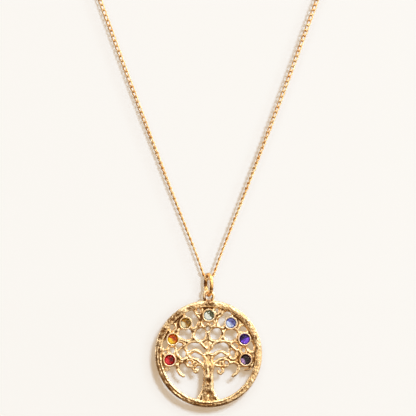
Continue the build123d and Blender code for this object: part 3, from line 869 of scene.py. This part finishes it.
# Jump ring
# One round ring of drawn brass wire, gold-plated and closed with a butt joint. It hangs loose in
# the chain's lowest bend, nearly edge-on to the front, and the pendant's loop hangs in it.
RING_WIRE = 0.38
RING_MEAN = 2.12
RING_TURN = radians(17)
RING_SEAM = radians(118)
RING_GAP = radians(1.6)
RING_STEPS = 84
WIRE_SIDES = 20
ring_low, ring_high = (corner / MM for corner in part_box("jump_ring"))
ring_centre = (ring_low + ring_high) / 2
wire = bmesh.new()
bmesh.ops.create_circle(wire, cap_ends=True, segments=WIRE_SIDES, radius=RING_WIRE)
bmesh.ops.rotate(wire, verts=wire.verts, matrix=Matrix.Rotation(pi / 2, 3, "X"))
bmesh.ops.translate(wire, verts=wire.verts, vec=(0, 0, RING_MEAN))
bmesh.ops.rotate(wire, verts=wire.verts, cent=(0, 0, 0), matrix=Matrix.Rotation(RING_SEAM, 3, "X"))
bmesh.ops.spin(wire, geom=wire.faces[:] + wire.edges[:] + wire.verts[:], cent=(0, 0, 0),
               axis=(1, 0, 0), angle=tau - RING_GAP, steps=RING_STEPS, use_duplicate=False)
bmesh.ops.recalc_face_normals(wire, faces=wire.faces)
bmesh.ops.rotate(wire, verts=wire.verts, matrix=Matrix.Rotation(RING_TURN, 3, "Z"))
bmesh.ops.translate(wire, verts=wire.verts, vec=ring_centre)

# painted shade on the ring, on the far wire and low on the near one, by depth, height and reach up and down
RING_SHADE_MARKS = [(1.7, 0.3, 0.7), (-1.5, -0.75, 0.45)]
RING_SHADE_DEPTH = 0.8


def ring_shade(place):
    """How much painted shade the ring has at a place, which is given from the ring's middle."""
    return max(exp(-((place.y - py) / RING_SHADE_DEPTH) ** 2 - ((place.z - pz) / reach) ** 2)
               for py, pz, reach in RING_SHADE_MARKS)


ring_shade_values = [ring_shade(vertex.co - ring_centre) for vertex in wire.verts]
jump = keep("ring_wire", wire, "jump_ring", ["jump_ring"])
mark_wear_and_shade(jump.data, "stain_and_shade", ring_shade_values)
mark_wear_and_shade(jump.data, "hollow", [FLAT_METAL] * len(ring_shade_values))
mark_wear_and_shade(jump.data, "crease", [FLAT_METAL] * len(ring_shade_values))
jump.data.materials.append(gold("drawn_gold", 0.1, (1.0, 0.88, 0.66, 1), worn_or_shaded=True))

# Curb chain
# About four hundred oval links of round wire, each twisted so that it lies flat against the
# next one. They follow a smooth line through the route's points, from clasp eye to clasp eye.
CHAIN_ROUTE = [
    (0.75, 0.0), (1.65, 2.75), (3.6, 7.9), (7.8, 18.5), (15.1, 37.6), (24.2, 62.5), (34.9, 93.4),
    (44.5, 121.0), (49.2, 146.2), (42.3, 171.2), (28.2, 185.2), (14.5, 189.8), (5.585, 189.8),
]
CLASP_HEIGHT = 1.5
LINK_WIRE = 0.3
LINK_WIDTH = 1.0
LINK_TWIST = radians(45)
LINKS_EACH_SIDE = 199
PITCH_RANGE = (1.0, 1.3)
# few faces, because the link is repeated about four hundred times
LINK_SIDES = 6
LINK_STEPS = 12
# height above the bend, and how far the links are turned there from lying flat to the front
ROLL_HEIGHTS = (0, 6, 20, 36, 52, 70, 100, 150, 180, 190)
ROLL_TURNS = (-90, -88, -68, -40, -24, -19, -20, -10, 20, 45)
ROLL_SPREAD = 4
# links this near to the top, where the clasp's eye holds the chain, are all turned alike
TOP_REACH = 0.1
TOP_TURN = 45
route_top = CHAIN_ROUTE[-1][1]
whole_route = [(-across, up) for across, up in reversed(CHAIN_ROUTE)] + CHAIN_ROUTE
route_data = bpy.data.curves.new("route", "CURVE")
route_data.dimensions = "3D"
route_data.resolution_u = 40
line = route_data.splines.new("NURBS")
line.points.add(len(whole_route) - 1)
for point, (across, up) in zip(line.points, whole_route):
    point.co = (across, 0, up, 1)
line.order_u = 3
line.use_endpoint_u = True
route = bpy.data.objects.new("route", route_data)
scene.collection.objects.link(route)
graph = bpy.context.evaluated_depsgraph_get()
line_mesh = bpy.data.meshes.new_from_object(route.evaluated_get(graph))
right_line = [np.array((vertex.co.x, vertex.co.z)) for vertex in line_mesh.vertices if vertex.co.x > 0]
bpy.data.objects.remove(route)


def joints(pitch):
    """Where each link meets the next one, from the bend up the right side to the clasp."""
    here = np.array((pitch / 2, 0.0))
    found = [here]
    for first, last in zip(right_line, right_line[1:]):
        while np.hypot(*(last - here)) >= pitch:
            run = last - first
            back = first - here
            square = run @ run
            cross = back @ run
            rest = back @ back - pitch ** 2
            here = first + run * (sqrt(cross ** 2 - square * rest) - cross) / square
            found.append(here)
    return found


# the pitch at which the links of one side just reach the clasp's eye
low, high = PITCH_RANGE
for _ in range(30):
    middle = (low + high) / 2
    if len(joints(middle)) > LINKS_EACH_SIDE:
        low = middle
    else:
        high = middle
link_pitch = low

# one link: a wire ring pulled out to an oval and twisted about its length
bend_radius = (LINK_WIDTH - LINK_WIRE) / 2
half_length = (link_pitch + LINK_WIRE) / 2
# points nearer than this to the link's middle are pulled out less
FULL_PULL = 0.06
link = bmesh.new()
bmesh.ops.create_circle(link, segments=LINK_SIDES, radius=LINK_WIRE / 2)
bmesh.ops.rotate(link, verts=link.verts, matrix=Matrix.Rotation(pi / 2, 3, "X"))
bmesh.ops.translate(link, verts=link.verts, vec=(bend_radius, 0, 0))
bmesh.ops.spin(link, geom=link.verts[:] + link.edges[:], cent=(0, 0, 0), axis=(0, 0, 1), angle=tau,
               steps=LINK_STEPS, use_merge=True)
bmesh.ops.recalc_face_normals(link, faces=link.faces)
for vertex in link.verts:
    pull = min(1.0, max(-1.0, vertex.co.x / FULL_PULL))
    vertex.co.x += pull * (half_length - bend_radius)
    vertex.co = Matrix.Rotation(LINK_TWIST * vertex.co.x / half_length, 3, "X") @ vertex.co
link_mesh = bpy.data.meshes.new("link")
link.to_mesh(link_mesh)
link.free()

uneven = np.random.default_rng(11)
met = joints(link_pitch)
lift = Matrix.Translation((0, 0, CLASP_HEIGHT - route_top))
links = bmesh.new()
places = [(np.array((-link_pitch / 2, 0.0)), met[0], 0)]
places += [(first, last, side) for side in (0, pi) for first, last in zip(met, met[1:])]
for first, last, side in places:
    middle = (first + last) / 2
    along = Vector((last[0] - first[0], 0, last[1] - first[1])).normalized()
    flat = Vector((-along.z, 0, along.x))
    roll = radians(np.interp(middle[1], ROLL_HEIGHTS, ROLL_TURNS) + uneven.normal(0, ROLL_SPREAD))
    if middle[1] > route_top - TOP_REACH:
        roll = radians(TOP_TURN)
    across = flat * cos(roll) + Vector((0, -1, 0)) * sin(roll)
    pose = Matrix((along, across, along.cross(across))).transposed().to_4x4()
    pose = Matrix.Translation((middle[0], 0, middle[1])) @ pose
    one = link_mesh.copy()
    one.transform(lift @ Matrix.Rotation(side, 4, "Z") @ pose)
    links.from_mesh(one)
    bpy.data.meshes.remove(one)
chain = keep("chain_links", links, "chain", ["chain"])
chain.data.materials.append(gold("chain_gold", 0.08, (1.09, 1.11, 1.07, 1), 0.33))

# Clasp
# A barrel in two halves that screw together behind the neck, turned from brass rod and
# plated, with a soldered wire eye at each end for the chain.
CLASP_LENGTH = 9.0
CLASP_RADIUS = 1.5
CLASP_NOSE = 1.2
NOSE_STEPS = 8
BARREL_STEPS = 48
POLE_MERGE = 0.0001
GROOVES = (2.9, 2.3, 0.9, 0.0)
# how wide a groove still is, to each side, at three depths
GROOVE_STEPS = [(0.11, 0.0), (0.07, 0.03), (0.02, 0.09)]
EYE_MIDDLE = 5.05
EYE_MEAN = 0.775
EYE_WIRE = 0.225
EYE_SIDES = 12
EYE_STEPS = 32
nose_middle = CLASP_LENGTH / 2 - CLASP_NOSE
nose_height = CLASP_RADIUS - CLASP_NOSE
half_barrel = [(CLASP_LENGTH / 2, 0.0), (CLASP_LENGTH / 2, nose_height)]
for step in range(1, NOSE_STEPS + 1):
    lean = step / NOSE_STEPS * pi / 2
    half_barrel.append((nose_middle + CLASP_NOSE * cos(lean), nose_height + CLASP_NOSE * sin(lean)))
for groove in GROOVES:
    half_barrel += [(groove + wide, CLASP_RADIUS - deep) for wide, deep in GROOVE_STEPS]
    if groove:
        half_barrel += [(groove - wide, CLASP_RADIUS - deep) for wide, deep in reversed(GROOVE_STEPS)]
profile = half_barrel + [(-along, out) for along, out in reversed(half_barrel)]
barrel = bmesh.new()
profile_points = [barrel.verts.new((along, 0, out)) for along, out in profile]
profile_edges = [barrel.edges.new(pair) for pair in zip(profile_points, profile_points[1:])]
bmesh.ops.spin(barrel, geom=profile_points + profile_edges, cent=(0, 0, 0), axis=(1, 0, 0),
               angle=tau, steps=BARREL_STEPS, use_merge=True)
bmesh.ops.remove_doubles(barrel, verts=barrel.verts, dist=POLE_MERGE)
bmesh.ops.recalc_face_normals(barrel, faces=barrel.faces)
for side in (-1, 1):
    before = set(barrel.faces)
    eye = bmesh.ops.create_circle(barrel, segments=EYE_SIDES, radius=EYE_WIRE)["verts"]
    bmesh.ops.translate(barrel, verts=eye, vec=(side * EYE_MIDDLE + EYE_MEAN, 0, 0))
    eye_edges = list({edge for vertex in eye for edge in vertex.link_edges})
    bmesh.ops.spin(barrel, geom=eye + eye_edges, cent=(side * EYE_MIDDLE, 0, 0), axis=(0, 1, 0),
                   angle=tau, steps=EYE_STEPS, use_merge=True)
    bmesh.ops.recalc_face_normals(barrel, faces=list(set(barrel.faces) - before))
bmesh.ops.translate(barrel, verts=barrel.verts, vec=(0, 0, CLASP_HEIGHT))
clasp = keep("barrel_clasp", barrel, "chain", ["clasp"])
clasp.data.materials.append(gold("clasp_gold", 0.06, (1.0, 0.93, 0.84, 1)))
